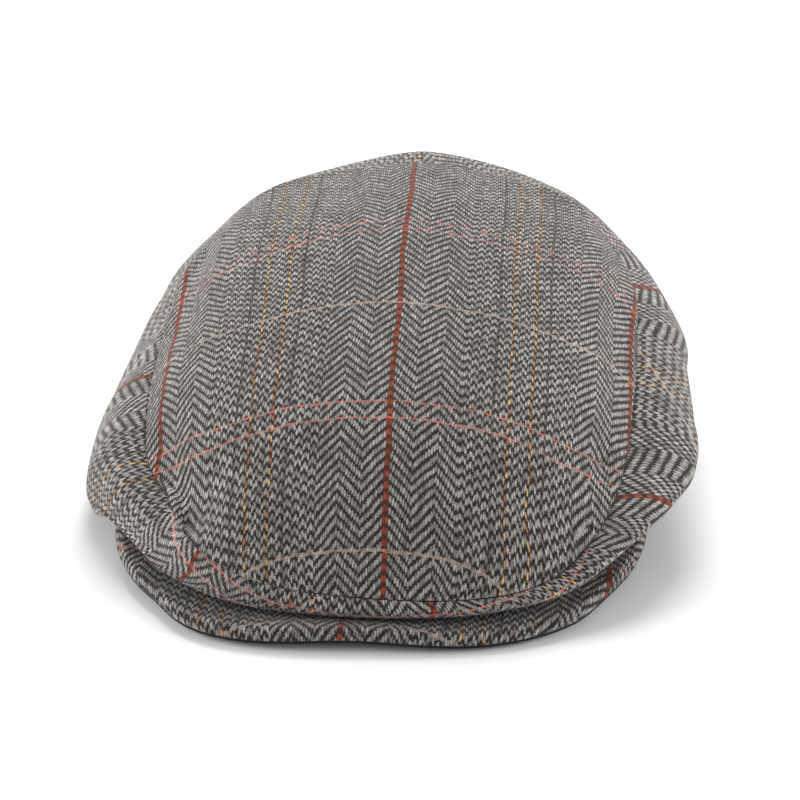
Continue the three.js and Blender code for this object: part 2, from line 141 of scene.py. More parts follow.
class CapSizes(bpy.types.PropertyGroup):
    cloth: metres("Cloth", "Thickness of the crown's wall", 0.0024)
    peak_cloth: metres("Peak cloth", "Thickness of each leaf of the peak", 0.0025)
    seam_gap: metres("Seam gap", "Gap between sewn pieces", 0.0004)
    hem_width: metres("Hem width", "Width of the head opening", 0.165)
    hem_length: metres("Hem length", "Length of the head opening", 0.198)
    hem_back: metres("Hem set back", "The opening's middle behind the cap's middle", 0.02)
    crown_width: metres("Crown width", "Width over the fullest part of the band", 0.224)
    crown_length: metres("Crown length", "Twice the reach of the band behind the cap's middle", 0.272)
    crown_height: metres("Crown height", "Height of the crown's highest point", 0.084)
    crown_slump: metres("Crown slump", "How far the soft crown leans to its left", 0.0024)
    band_height: metres("Band height", "Height of the fullest part of the band", 0.029)
    full_shift: metres("Full shift", "How far the band's fullest part is set over", 0.003)
    full_sag: metres("Full sag", "How much lower one side of the band's fullest part hangs", 0.0055)
    under_shift: metres("Under shift", "How far the band's underside is set over", -0.009)
    under_sag: metres("Under sag", "How much lower one side of the band's underside hangs", 0.005)
    droop: metres("Droop", "How far the front lip droops on the cap's left", 0.008)
    hem_set_over: metres("Hem set over", "How far the hem and the peak are set over", -0.0023)
    panel_width: metres("Panel width", "Width of the top panel from seam to seam", 0.188)
    panel_length: metres("Panel length", "Twice the reach of the front seam", 0.256)
    back_peak: metres("Back peak", "Height of the small ridge at the centre back seam", 0.003)
    band_softness: FloatProperty(
        name="Band softness", description="Share of the way down over which the band is rounded",
        default=0.06)
    lip_clearance: metres("Lip clearance", "Open gap between the lip and the peak", 0.0024)
    peak_width: metres("Peak width", "Width of the peak", 0.194)
    peak_reach: metres("Peak reach", "Front of the peak from the cap's middle", 0.136)
    peak_widest: metres("Peak widest", "The peak is widest this far in front of the middle", 0.05)
    peak_lift: metres("Peak lift", "How far the peak curls up at its corners", 0.0045)
    rim_lift: metres("Rim lift", "How far the front rim of the peak lifts at its middle", 0.0031)
    seam_roll: metres("Seam roll", "Depth of the rolled cloth edge at a seam", 0.0004)
    seam_roll_width: metres("Seam roll width", "Width of the rolled cloth edge", 0.0024)
    pucker: metres("Pucker", "Height of the small puckers along a seam", 0.0004)


class CapMesh(bpy.types.PropertyGroup):
    panel_across: whole_number("Panel across", "Steps across the top panel", 150, 20)
    panel_back: whole_number("Panel back", "Steps along the top panel", 190, 20)
    band_round: whole_number("Band round", "Steps round the side band", 440, 40)
    band_down: whole_number("Band down", "Steps down the side band", 66, 12)
    peak_along: whole_number("Peak along", "Steps along the peak", 220, 20)
    peak_out: whole_number("Peak out", "Steps from the peak's root to its rim", 44, 8)


class TweedLook(bpy.types.PropertyGroup):
    end_pitch: metres("End pitch", "Spacing of the warp yarns", 0.00096)
    pick_pitch: metres("Pick pitch", "Spacing of the weft yarns", 0.00104)
    light_yarn: plain_colour("Light yarn", "Pale grey warp", (0.325, 0.313, 0.302))
    dark_yarn: plain_colour("Dark yarn", "Brown-black weft", (0.0235, 0.0178, 0.0155))
    red_yarn: plain_colour("Red yarn", "Rust overcheck in the warp", (0.30, 0.062, 0.027))
    ochre_yarn: plain_colour("Ochre yarn", "Ochre overcheck in the warp", (0.56, 0.36, 0.15))
    orange_yarn: plain_colour("Orange yarn", "Darker twist in the ochre overcheck", (0.42, 0.17, 0.06))
    pink_yarn: plain_colour("Pink yarn", "Coral overcheck in the weft", (0.50, 0.115, 0.08))
    cream_yarn: plain_colour("Cream yarn", "Cream overcheck in the weft", (0.42, 0.3, 0.225))
    # The underside's near-black colour is partly painted shade: it darkens the line under the peak's rim
    # where shade falls
    underside: plain_colour("Underside", "Dark cloth under the peak", (0.014, 0.014, 0.019))


class StudioLook(bpy.types.PropertyGroup):
    azimuth: FloatProperty(
        name="Azimuth", description="Camera's angle to the cap's left", default=math.radians(4.55),
        subtype="ANGLE")
    elevation: FloatProperty(
        name="Elevation", description="Camera's angle above the floor", default=math.radians(29.25),
        subtype="ANGLE")
    distance: metres("Distance", "Camera to the cap", 1.5)
    view_width: metres("View width", "Width of the view at the cap", 0.2984)
    aim_height: metres("Aim height", "Height that the camera is set out from", 0.04)
    frame_right: metres("Frame right", "The cap sits this far left in the view", -0.0002)
    frame_down: metres("Frame down", "The camera is lowered by this much in the view", 0.0136)
    floor: plain_colour("Floor", "Pale floor", (0.88, 0.88, 0.88))
    sky: FloatProperty(
        name="Sky", description="Strength of the even light from all round", default=0.365)


def smooth_step(value):
    t = np.clip(value, 0.0, 1.0)
    return t * t * (3 - 2 * t)


def catmull_rom(t, before, start, end, after):
    leaving = (end - before) / 2
    arriving = (after - start) / 2
    cubic = 2 * (start - end) + leaving + arriving
    square = 3 * (end - start) - 2 * leaving - arriving
    return ((cubic * t + square) * t + leaving) * t + start


def slump_at(sizes, height):
    """How far the crown leans over at a height."""
    share = (height - sizes.band_height / 2) / (sizes.crown_height - sizes.band_height)
    return sizes.crown_slump * smooth_step(share)


def section_loop(sizes, column, width, length, height):
    """One point of every section, from back centre round the front to back centre."""
    points = []
    for index in range(-BACK_CENTRE, BACK_CENTRE + 1):
        across, along, up = SECTIONS[abs(index)][column]
        side = -1 if index < 0 else 1
        point = [side * across * width / 2, along * length / 2, up * height]
        point[0] += slump_at(sizes, point[2])
        points.append(point)
    return np.array(points)


def hanging_loop(sizes, points, shift, sag):
    """The loop hung askew: shifted sideways, lower on one side, and drooping at the front."""
    side = points[:, 0] / (sizes.crown_width / 2)
    offset = (np.arange(-BACK_CENTRE, BACK_CENTRE + 1) - DROOP_PLACE) / DROOP_SPREAD
    points[:, 0] += shift * np.abs(side)
    points[:, 2] += sag * side - sizes.droop * np.exp(-offset * offset)
    return points


def sample_loop(points, places):
    """Smooth curve through the closed loop of section points, at many places."""
    clamped = np.clip(np.asarray(places, float) + BACK_CENTRE, 0, 2 * BACK_CENTRE)
    start = np.minimum(np.floor(clamped).astype(int), 2 * BACK_CENTRE - 1)
    share = (clamped - start)[:, None]
    count = len(points) - 1
    near = [points[(start + step) % count] for step in (-1, 0, 1, 2)]
    return catmull_rom(share, *near)


def hem_point(sizes, degrees, inset=0.0):
    """Points of the oval hem at angles from centre front."""
    angle = np.radians(degrees)
    x = (sizes.hem_width / 2 - inset) * np.sin(angle)
    y = sizes.hem_back - (sizes.hem_length / 2 - inset) * np.cos(angle)
    return np.stack([x, y, np.zeros_like(x)], axis=-1)


# The peak ends at this angle in degrees round the hem, and the band reaches the table past it
PEAK_END_ANGLE = 60
PAST_PEAK = 3
HEM_DROP = 12


def hem_angle(places):
    """Angles round the hem at places counted in sections."""
    angles = np.array([section["hem"] for section in SECTIONS], float)
    return np.sign(places) * np.interp(np.abs(places), np.arange(len(angles)), angles)


def peak_floor(sizes, x):
    """Height of the peak's lower side, which curls up towards its corners."""
    return sizes.peak_lift * np.power(np.abs(x) / (sizes.peak_width / 2), 2.5)


def peak_stack(sizes):
    return 2 * sizes.peak_cloth + sizes.seam_gap


def hem_height(sizes, degrees):
    """Height of the hem: on the peak at the front and on the table behind it."""
    past = smooth_step((np.abs(degrees) - PEAK_END_ANGLE - PAST_PEAK) / HEM_DROP)
    over = peak_stack(sizes) + sizes.seam_gap + peak_floor(sizes, hem_point(sizes, degrees)[..., 0])
    return over * (1 - past)


def peak_top_below(sizes, x, y):
    """Height of the peak's top surface below points of the crown, fading out beside it."""
    half = sizes.peak_width / 2
    ahead = (-sizes.peak_widest - y) / (sizes.peak_reach - sizes.peak_widest)
    beyond = np.maximum(np.abs(x) / half, ahead) - 1
    fading = 1 - smooth_step(beyond / 0.15)
    wing = 1 - smooth_step((y + sizes.peak_widest) / sizes.hem_back - 1)
    return (peak_stack(sizes) + peak_floor(sizes, np.minimum(np.abs(x), half))) * fading * wing


def dent_at(sizes, x, y):
    """Depth of the dents at points seen from above."""
    total = np.zeros_like(x)
    for dent in DENTS:
        scale = np.array([sizes.crown_width / 2, sizes.crown_length / 2])
        start = np.array(dent["from"]) * scale
        run = np.array(dent["to"]) * scale - start
        share = np.clip(((x - start[0]) * run[0] + (y - start[1]) * run[1]) / (run @ run), 0, 1)
        distance = np.hypot(x - start[0] - share * run[0], y - start[1] - share * run[1])
        spread = dent["spread"] * sizes.cloth
        total = total + dent["depth"] * sizes.cloth * np.exp(-(distance / spread) ** 2)
    return total


def centripetal(points, shares):
    """Centripetal curve through the stacked points at shares of its length in knots."""
    spans = len(points) - 1
    rows = []
    for share in shares:
        place = min(share * spans, spans - 1e-9)
        index = int(place)
        weight = place - index
        start, end = points[index], points[index + 1]
        before = points[index - 1] if index > 0 else 2 * start - end
        after = points[index + 2] if index + 2 <= spans else 2 * end - start
        step = [np.sqrt(np.linalg.norm(b - a, axis=-1, keepdims=True))
                for a, b in ((before, start), (start, end), (end, after))]
        step = [np.maximum(length, 1e-4) for length in step]
        leaving = ((start - before) / step[0] - (end - before) / (step[0] + step[1])
                   + (end - start) / step[1]) * step[1]
        arriving = ((end - start) / step[1] - (after - start) / (step[1] + step[2])
                    + (after - end) / step[2]) * step[1]
        square = -3 * start + 3 * end - 2 * leaving - arriving
        cubic = 2 * start - 2 * end + leaving + arriving
        rows.append(((cubic * weight + square) * weight + leaving) * weight + start)
    return np.array(rows)


def fold_at(places, column):
    """How much one column of the folds amounts to at places round the loop."""
    total = np.zeros(len(places))
    for fold in FOLDS:
        total += fold[column] * np.exp(-((places - fold["place"]) / fold["spread"]) ** 2)
    return total


def seam_loop(sizes):
    """The seam between the crown and the band, with its sunken and pulled places."""
    loop = section_loop(sizes, "seam", sizes.panel_width, sizes.panel_length, sizes.crown_height)
    places = np.arange(-BACK_CENTRE, BACK_CENTRE + 1)
    loop[:, 2] -= fold_at(places, "sink")
    for pull in SEAM_PULLS:
        share = np.exp(-((places - pull["place"]) / pull["spread"]) ** 2)
        loop += share[:, None] * np.array(pull["by"])
    return loop


def band_surface(sizes, places, downs):
    """Outer surface of the side band: a row for each share of the way down."""
    seam = sample_loop(seam_loop(sizes), places)
    band = (sizes.crown_width, sizes.crown_length, sizes.band_height)
    full = hanging_loop(sizes, section_loop(sizes, "full", *band), sizes.full_shift, sizes.full_sag)
    full = sample_loop(full, places)
    under = hanging_loop(sizes, section_loop(sizes, "under", *band), sizes.under_shift, sizes.under_sag)
    under = sample_loop(under, places)
    angle = hem_angle(places)
    hem = hem_point(sizes, angle)
    hem[:, 2] = hem_height(sizes, angle)
    lifted = peak_top_below(sizes, under[:, 0], under[:, 1]) + sizes.lip_clearance
    under[:, 2] = np.maximum(under[:, 2], lifted)
    drop = full - seam
    reach = np.linalg.norm(drop, axis=1, keepdims=True)
    outward = full - np.array([0, sizes.hem_back, 0])
    outward[:, 2] = 0
    outward /= np.linalg.norm(outward, axis=1, keepdims=True)
    swell = SHOULDER_SWELL + BACK_SWELL * np.abs(places / BACK_CENTRE) ** BACK_SWELL_POWER
    swell = (swell + fold_at(places, "swell")) * reach[:, 0]
    shoulder = seam + 0.5 * drop + swell[:, None] * outward
    shoulder[:, 2] += swell
    tuck = (under + hem) / 2
    profile = [seam, shoulder, full, under, tuck, hem]
    softness = np.minimum(sizes.band_softness, np.minimum(downs, 1 - downs))
    around = (centripetal(profile, downs - softness) + centripetal(profile, downs + softness)) / 2
    surface = (centripetal(profile, downs) + around) / 2
    inner = smooth_step(downs / 0.15) * smooth_step((0.62 - downs) / 0.2)
    dent = 0.6 * dent_at(sizes, seam[:, 0], seam[:, 1])
    surface -= outward[None] * (inner[:, None] * dent[None])[..., None]
    peaked = np.exp(-((np.abs(places) - BACK_CENTRE) / 0.7) ** 2)[None] * smooth_step(downs * 8)[:, None]
    surface[..., 2] += sizes.back_peak * peaked * smooth_step((0.5 - downs) * 4)[:, None]
    clearance = sizes.lip_clearance + (sizes.seam_gap - sizes.lip_clearance) * downs[:, None]
    floor = peak_top_below(sizes, surface[..., 0], surface[..., 1]) + clearance
    lower = (downs > 0.5) & (downs < 1)
    surface[lower, :, 2] = np.maximum(surface[lower, :, 2], floor[lower])
    return surface, outward


def curve_through(knots, values, places):
    """Smooth curve through values at rising knots, level past its ends."""
    knots, values = np.array(knots), np.array(values)
    index = np.clip(np.searchsorted(knots, places, side="right") - 1, 0, len(knots) - 2)
    share = np.clip((places - knots[index]) / (knots[index + 1] - knots[index]), 0, 1)
    near = [np.clip(index + step, 0, len(knots) - 1) for step in (-1, 0, 1, 2)]
    return catmull_rom(share, *[values[n] for n in near])


def ridge_at(sizes, backs):
    """Place and height of the crown's ridge at shares of the way back."""
    along = curve_through(RIDGE_PLACE, RIDGE_ALONG, backs)
    up = curve_through(RIDGE_PLACE, RIDGE_UP, backs)
    return along * sizes.panel_length / 2, up * sizes.crown_height


def panel_surface(sizes, across, backs):
    """Outer surface of the top panel: a patch between its seams raised to the ridge."""
    loop = seam_loop(sizes)
    side = across * 2 - 1
    fold = np.abs(side) * (BACK_CENTRE - BACK_CORNER)
    front = sample_loop(loop, side * FRONT_CORNER)
    rear = sample_loop(loop, np.where(side < 0, -1, 1) * (BACK_CENTRE - fold))
    place = FRONT_CORNER + (BACK_CORNER - FRONT_CORNER) * backs
    left = sample_loop(loop, -place)
    right = sample_loop(loop, place)
    u, v = across[None, :, None], backs[:, None, None]
    patch = front[None] * (1 - v) + rear[None] * v + left[:, None] * (1 - u) + right[:, None] * u
    patch -= (front[0] * (1 - u) + front[-1] * u) * (1 - v) + (rear[0] * (1 - u) + rear[-1] * u) * v
    middle = patch[:, len(across) // 2].copy()
    rise = 1 - np.abs(side) ** PANEL_FULLNESS
    along, up = ridge_at(sizes, backs)
    patch[..., 1] += (along - middle[:, 1])[:, None] * (1 - side * side)[None]
    patch[..., 2] += (up - middle[:, 2])[:, None] * rise[None]
    lean = slump_at(sizes, up) - slump_at(sizes, middle[:, 2])
    patch[..., 0] += lean[:, None] * rise[None]
    ease = smooth_step((1 - np.abs(side)) * 7)[None] * smooth_step(backs * 9)[:, None]
    patch[..., 2] -= dent_at(sizes, patch[..., 0], patch[..., 1]) * ease
    return patch


def grid_normals(surface):
    """Unit normals of a grid of points."""
    down = np.gradient(surface, axis=0)
    along = np.gradient(surface, axis=1)
    normals = np.cross(along, down)
    lengths = np.linalg.norm(normals, axis=2, keepdims=True)
    return normals / np.maximum(lengths, 1e-12)


def soft_noise(surface, size, seed):
    """Smooth noise between about -1 and 1 at every point of a grid."""
    shift = Vector((seed * 7.3, seed * 3.1, seed * 5.7))
    flat = surface.reshape(-1, 3) / size
    values = [noise.noise(Vector(point) + shift) for point in flat]
    return np.array(values).reshape(surface.shape[:2])


def rolled_edge(sizes, distance, y):
    """How far the cloth dips at a distance from its sewn edge, most at the front."""
    inside = np.clip(1 - distance / sizes.seam_roll_width, 0, 1)
    share = 0.35 + 0.65 * smooth_step((-y - 0.085) / 0.03)
    return sizes.seam_roll * share * (1 - np.sqrt(1 - 0.98 * inside**2))


def lengths_along(surface, axis, ignore):
    """Running length of the grid lines along an axis, leaving out one coordinate."""
    keep = [c for c in range(3) if c != ignore]
    steps = np.linalg.norm(np.diff(surface[..., keep], axis=axis), axis=2)
    pad = [(0, 0), (0, 0)]
    pad[axis] = (1, 0)
    return np.pad(np.cumsum(steps, axis=axis), pad)


def relaxed_fabric(surface, fabric, passes):
    """Fabric places eased until their spacing is closer to that of the surface."""
    places = fabric.copy()
    links = []
    for rows, columns in ((0, 1), (1, 0), (1, 1), (1, -1)):
        first = (slice(0, surface.shape[0] - rows),
                 slice(max(-columns, 0), surface.shape[1] - max(columns, 0)))
        second = (slice(rows, None), slice(max(columns, 0), surface.shape[1] + min(columns, 0)))
        links.append((first, second, np.linalg.norm(surface[second] - surface[first], axis=2)))
    for _ in range(passes):
        push = np.zeros_like(places)
        for first, second, rest in links:
            apart = places[second] - places[first]
            length = np.linalg.norm(apart, axis=2)
            move = apart * ((length - rest) / np.maximum(length, 1e-6) * FABRIC_EASE)[..., None]
            push[first] += move
            push[second] -= move
        for axis in (0, 1):
            push = (2 * push + np.roll(push, 1, axis) + np.roll(push, -1, axis)) / 4
        places += push
    return places


def smoothed_at_corner(surface, fabric, corner):
    """Fabric places near a sharp corner of a grid, carried on evenly from the cloth round it."""
    places = fabric.copy()
    distance = np.linalg.norm(surface - corner, axis=2)
    around = (distance > CORNER_INSIDE) & (distance < CORNER_OUTSIDE)
    terms = np.concatenate([surface - corner, np.ones((*distance.shape, 1))], axis=2)
    even = terms @ np.linalg.lstsq(terms[around], fabric[around], rcond=None)[0]
    share = smooth_step((distance - CORNER_INSIDE) / (CORNER_OUTSIDE - CORNER_INSIDE))[..., None]
    return even * (1 - share) + places * share


def add_wall(name, outer, inner, fabric, material):
    """A closed wall between two grids of points, with fabric places as its UV map."""
    rows, columns = outer.shape[:2]
    count = rows * columns
    index = np.arange(count).reshape(rows, columns)
    corners = [index[:-1, :-1], index[1:, :-1], index[1:, 1:], index[:-1, 1:]]
    quads = np.stack(corners, axis=-1).reshape(-1, 4)
    ring = np.concatenate([index[0, :-1], index[:-1, -1], index[-1, :0:-1], index[:0:-1, 0]])
    after = np.roll(ring, -1)
    rim = np.stack([ring, after, after + count, ring + count], axis=-1)
    faces = np.concatenate([quads, quads[:, ::-1] + count, rim])
    vertices = np.concatenate([outer.reshape(-1, 3), inner.reshape(-1, 3)])
    vertices[:, 0] += bpy.context.scene.cap_sizes.hem_set_over
    mesh = bpy.data.meshes.new(name)
    mesh.from_pydata(vertices.tolist(), [], faces.tolist())
    mesh.polygons.foreach_set("use_smooth", np.ones(len(faces), bool))
    layer = mesh.uv_layers.new(name="fabric")
    loops = np.zeros(len(mesh.loops), np.int32)
    mesh.loops.foreach_get("vertex_index", loops)
    places = np.concatenate([fabric.reshape(-1, 2)] * 2)[loops]
    layer.data.foreach_set("uv", places.astype(np.float32).ravel())
    mesh.materials.append(bpy.data.materials[material])
    mesh.update()
    piece = bpy.data.objects.new(name, mesh)
    bpy.context.scene.collection.objects.link(piece)
    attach(piece, "root")
    return piece


def outward_facing(surface, middle):
    """Grid normals turned so that they point away from a point inside the cap."""
    normals = grid_normals(surface)
    away = surface - np.array(middle)
    if np.sum(normals * away) < 0:
        normals = -normals
    return normals


def slack_at(surface, distance, height, size, seed):
    """Soft unevenness of the cloth that fades towards its seams."""
    return height * soft_noise(surface, size, seed) * smooth_step(distance / SLACK_FROM_SEAM)


def wall_faces(sizes, surface, normals, distance, slack, seed):
    """Outer and inner faces of a crown wall, with its slack, puckers and rolled edges."""
    pucker = sizes.pucker * soft_noise(surface, PUCKER_SIZE, seed) * np.exp(-distance / PUCKER_REACH)
    roll = rolled_edge(sizes, distance, surface[..., 1])
    outer = surface + normals * (slack + pucker - roll)[..., None]
    inner = surface - normals * (sizes.cloth + 0.5 * roll)[..., None]
    return outer, inner


class Nodes:
    """Short calls that add nodes to a material and join them."""

    def __init__(self, material):
        material.use_nodes = True
        self.tree = material.node_tree
        self.tree.nodes.clear()

    def add(self, kind, **settings):
        node = self.tree.nodes.new(kind)
        for key, value in settings.items():
            setattr(node, key, value)
        return node

    def join(self, socket, value):
        if isinstance(value, bpy.types.NodeSocket):
            self.tree.links.new(value, socket)
        else:
            socket.default_value = value

    def math(self, operation, *values):
        node = self.add("ShaderNodeMath", operation=operation)
        for socket, value in zip(node.inputs, values):
            self.join(socket, value)
        return node.outputs[0]

    def centred(self, value):
        return self.math("SUBTRACT", value, 0.5)

    def mix(self, share, first, second, blend_type="MIX"):
        node = self.add("ShaderNodeMix", data_type="RGBA", blend_type=blend_type)
        for index, value in ((0, share), (6, first), (7, second)):
            self.join(node.inputs[index], value)
        return node.outputs[2]

    def blend(self, share, first, second):
        node = self.add("ShaderNodeMix", data_type="FLOAT")
        for index, value in ((0, share), (2, first), (3, second)):
            self.join(node.inputs[index], value)
        return node.outputs[0]

    def product(self, first, second):
        return self.mix(1.0, first, second, "MULTIPLY")

    def scaled(self, colour, factor):
        grey = self.add("ShaderNodeCombineColor")
        for socket in grey.inputs:
            self.join(socket, factor)
        return self.product(colour, grey.outputs[0])

    def range(self, value, low, high, to_low=0.0, to_high=1.0, smooth=True):
        node = self.add("ShaderNodeMapRange")
        node.interpolation_type = "SMOOTHSTEP" if smooth else "LINEAR"
        for socket, item in zip(node.inputs, (value, low, high, to_low, to_high)):
            self.join(socket, item)
        return node.outputs[0]

    def pair(self, x, y):
        node = self.add("ShaderNodeCombineXYZ")
        self.join(node.inputs[0], x)
        self.join(node.inputs[1], y)
        return node.outputs[0]

    def noise(self, vector, scale, detail=2.0):
        node = self.add("ShaderNodeTexNoise", noise_dimensions="2D")
        self.join(node.inputs["Vector"], vector)
        node.inputs["Scale"].default_value = scale
        node.inputs["Detail"].default_value = detail
        return node.outputs["Fac"]

    def chance(self, vector):
        node = self.add("ShaderNodeTexWhiteNoise", noise_dimensions="2D")
        self.join(node.inputs["Vector"], vector)
        return node.outputs["Value"]

    def cloth(self, colour, height, relief, distance, roughness, specular):
        """Rough cloth with raised yarns, joined to the material's output."""
        bump = self.add("ShaderNodeBump")
        bump.inputs["Strength"].default_value = relief
        bump.inputs["Distance"].default_value = distance
        self.join(bump.inputs["Height"], height)
        shader = self.add("ShaderNodeBsdfPrincipled")
        self.join(shader.inputs["Base Color"], colour)
        self.join(shader.inputs["Normal"], bump.outputs[0])
        shader.inputs["Roughness"].default_value = roughness
        shader.inputs["Specular IOR Level"].default_value = specular
        self.tree.links.new(shader.outputs[0], self.add("ShaderNodeOutputMaterial").inputs[0])
        return shader


# The overcheck's repeat: warp yarns counted from the middle of the rust stripe,
# weft yarns from the cream one
REPEAT_ENDS = 100
REPEAT_PICKS = 104
COLUMN_ENDS = 9
HERRINGBONE_ENDS = 27
RED_REACH = 0.9
DIM_END = 39.5
OCHRE_END = 45.5
PINK_PICKS = (48.0, 55.0)
SAME_YARN = 0.4

# The cream check is left out behind this place on the cloth, in metres
LAST_CREAM = 0.18

# Unevenness of the yarns: slow drift and small knobs along and across, in metres, how much the
# lean of a stitch differs from the next one's, and the two ends of the warp's tints
DRIFT = (0.0012, 0.0016)
KNOBS = (0.00055, 0.0011)
FLOAT_WANDER = 0.35
WARP_TINTS = ((1.03, 0.99, 0.99, 1), (0.95, 1.0, 0.97, 1))


def opaque(colour):
    return (*colour, 1.0)


def tweed_material(look, name, painted_light=1.0, bloom=0.1):
    """Herringbone and birdseye tweed with its overcheck, drawn yarn by yarn, then made lighter or darker as
    a whole by a factor of painted light.
    """
    material = bpy.data.materials.new(name)
    n = Nodes(material)
    place = n.add("ShaderNodeUVMap", uv_map="fabric").outputs[0]
    split = n.add("ShaderNodeSeparateXYZ")
    n.join(split.inputs[0], place)
    drift_u = n.centred(n.noise(place, 90.0))
    drift_v = n.centred(n.noise(n.pair(split.outputs[1], split.outputs[0]), 75.0))
    u = n.math("MULTIPLY_ADD", drift_u, DRIFT[0], split.outputs[0])
    v = n.math("MULTIPLY_ADD", drift_v, DRIFT[1], split.outputs[1])
    knobs_u = n.centred(n.noise(place, 1050.0, 1.0))
    knobs_v = n.centred(n.noise(n.pair(split.outputs[1], split.outputs[0]), 820.0, 1.0))
    u = n.math("MULTIPLY_ADD", knobs_u, KNOBS[0], u)
    v = n.math("MULTIPLY_ADD", knobs_v, KNOBS[1], v)
    ends = n.math("DIVIDE", u, look.end_pitch)
    picks = n.math("DIVIDE", v, look.pick_pitch)
    end = n.math("FLOOR", ends)
    pick = n.math("FLOOR", picks)
    beside = n.centred(n.math("FRACT", ends))

    # Place in the overcheck
    half = REPEAT_ENDS / 2
    turn = n.math("SUBTRACT", n.math("FLOORED_MODULO", n.math("ADD", end, half), REPEAT_ENDS), half)
    apart = n.math("ABSOLUTE", n.math("ADD", turn, 0.5))
    row = n.math("FLOORED_MODULO", pick, REPEAT_PICKS)
    has_cream = n.math("LESS_THAN", v, LAST_CREAM)

    # Step of each yarn: zigzag columns near the rust stripe, birdseye between them
    zigzag = n.math("FLOORED_MODULO", n.centred(apart), 2 * COLUMN_ENDS)
    zigzag = n.math("ABSOLUTE", n.math("SUBTRACT", zigzag, COLUMN_ENDS))
    third = n.math("FLOORED_MODULO", turn, 3)
    cluster = n.math("FLOOR", n.math("DIVIDE", turn, 3))
    eye = n.math("SUBTRACT", n.math("MULTIPLY", cluster, 2),
                 n.math("ABSOLUTE", n.math("SUBTRACT", third, 1)))
    in_columns = n.math("LESS_THAN", apart, HERRINGBONE_ENDS)
    step = n.blend(in_columns, eye, zigzag)
    climb = n.math("DIVIDE", n.math("SUBTRACT", picks, step), 4)
    along = n.centred(n.math("FRACT", climb))
    passing = n.math("DIVIDE", n.math("SUBTRACT", n.math("ADD", pick, 0.5), step), 4)
    passing = n.math("ABSOLUTE", n.centred(n.math("FRACT", passing)))
    weft_over = n.math("GREATER_THAN", passing, 0.25)

    # Each warp float is a leaning oval over two picks
    eye_lean = n.math("MULTIPLY_ADD", third, -0.38, 0.45)
    lean = n.blend(in_columns, eye_lean, 0.32)
    stitch = n.math("FLOOR", climb)
    wander = n.centred(n.chance(n.pair(stitch, n.math("ADD", end, 40.0))))
    lean = n.math("MULTIPLY_ADD", wander, FLOAT_WANDER, lean)
    leaning = n.math("SUBTRACT", beside, n.math("MULTIPLY", along, lean))
    wide = n.math("POWER", n.math("ABSOLUTE", n.math("DIVIDE", leaning, 0.5)), 2)
    tall = n.math("POWER", n.math("ABSOLUTE", n.math("DIVIDE", along, 0.33)), 2)
    oval = n.math("SQRT", n.math("ADD", wide, tall))
    fibre = n.centred(n.noise(place, 1900.0, 4.0))
    float_up = n.range(n.math("MULTIPLY_ADD", fibre, 1.4, oval), 0.5, 1.28, 1.0, 0.0)

    # Colour of the yarns
    own = n.chance(n.pair(end, stitch))
    warm = n.mix(n.chance(n.pair(stitch, end)), *WARP_TINTS)
    tone = n.range(own, 0.0, 1.0, 0.6, 1.28, False)
    tone = n.math("MULTIPLY", tone, n.range(n.chance(n.pair(end, 3.0)), 0.0, 1.0, 0.92, 1.06, False))
    blurred = n.range(n.noise(place, 60.0, 4.0), 0.3, 0.7, 0.93, 1.07)
    warp = n.product(n.scaled(opaque(look.light_yarn), tone), warm)
    dim = n.math("COMPARE", apart, DIM_END, SAME_YARN)
    warp = n.mix(n.math("MULTIPLY", dim, 0.6), warp, opaque(look.dark_yarn))
    is_red = n.math("LESS_THAN", apart, RED_REACH)
    is_ochre = n.math("COMPARE", apart, OCHRE_END, SAME_YARN)
    warp = n.mix(is_red, warp, n.scaled(opaque(look.red_yarn), n.range(own, 0.0, 1.0, 0.6, 1.15, False)))
    ochre = n.mix(n.range(own, 0.2, 0.9), opaque(look.ochre_yarn), opaque(look.orange_yarn))
    warp = n.mix(is_ochre, warp, n.scaled(ochre, n.range(own, 0.0, 1.0, 1.1, 0.7, False)))
    depth = n.range(n.chance(n.pair(pick, 9.0)), 0.0, 1.0, 0.75, 1.35, False)
    weft = n.scaled(opaque(look.dark_yarn), depth)
    weft = n.mix(n.math("MULTIPLY", is_red, 0.4), weft, n.scaled(opaque(look.red_yarn), 0.35))
    thread = n.math("ABSOLUTE", n.centred(n.math("FRACT", picks)))
    slim = n.range(thread, 0.3, 0.5, 1.0, 0.0)
    shows = n.math("MULTIPLY", slim, n.blend(weft_over, 0.12, 1.0))
    is_pink = n.math("ADD", *[n.math("COMPARE", row, pink, SAME_YARN) for pink in PINK_PICKS])
    is_cream = n.math("MULTIPLY", n.math("LESS_THAN", row, 0.5), has_cream)
    dash = n.range(n.chance(n.pair(n.math("FLOOR", n.math("DIVIDE", ends, 3)), pick)), 0.0, 0.5, 0.55, 1.0)
    weft = n.mix(n.math("MULTIPLY", n.math("MULTIPLY", is_pink, shows), dash), weft, opaque(look.pink_yarn))
    broken = n.range(n.noise(n.pair(u, 0.0), 420.0, 1.0), 0.3, 0.6, 0.35, 1.0)
    is_cream = n.math("MULTIPLY", is_cream, broken)
    weft = n.mix(n.math("MULTIPLY", is_cream, n.blend(weft_over, 0.45, 0.9)), weft, opaque(look.cream_yarn))
    warp = n.mix(n.math("MULTIPLY", is_cream, 0.5), warp, opaque(look.cream_yarn))
    fuzz = n.range(n.noise(n.pair(split.outputs[1], u), 2600.0, 2.0), 0.25, 0.75, 0.74, 1.26, False)
    colour = n.mix(float_up, weft, warp)
    # The last factor is painted light: it paints a whole piece lighter where light falls on it, or darker
    # where it sits in shade
    colour = n.scaled(colour, n.math("MULTIPLY", n.math("MULTIPLY", blurred, fuzz), painted_light))

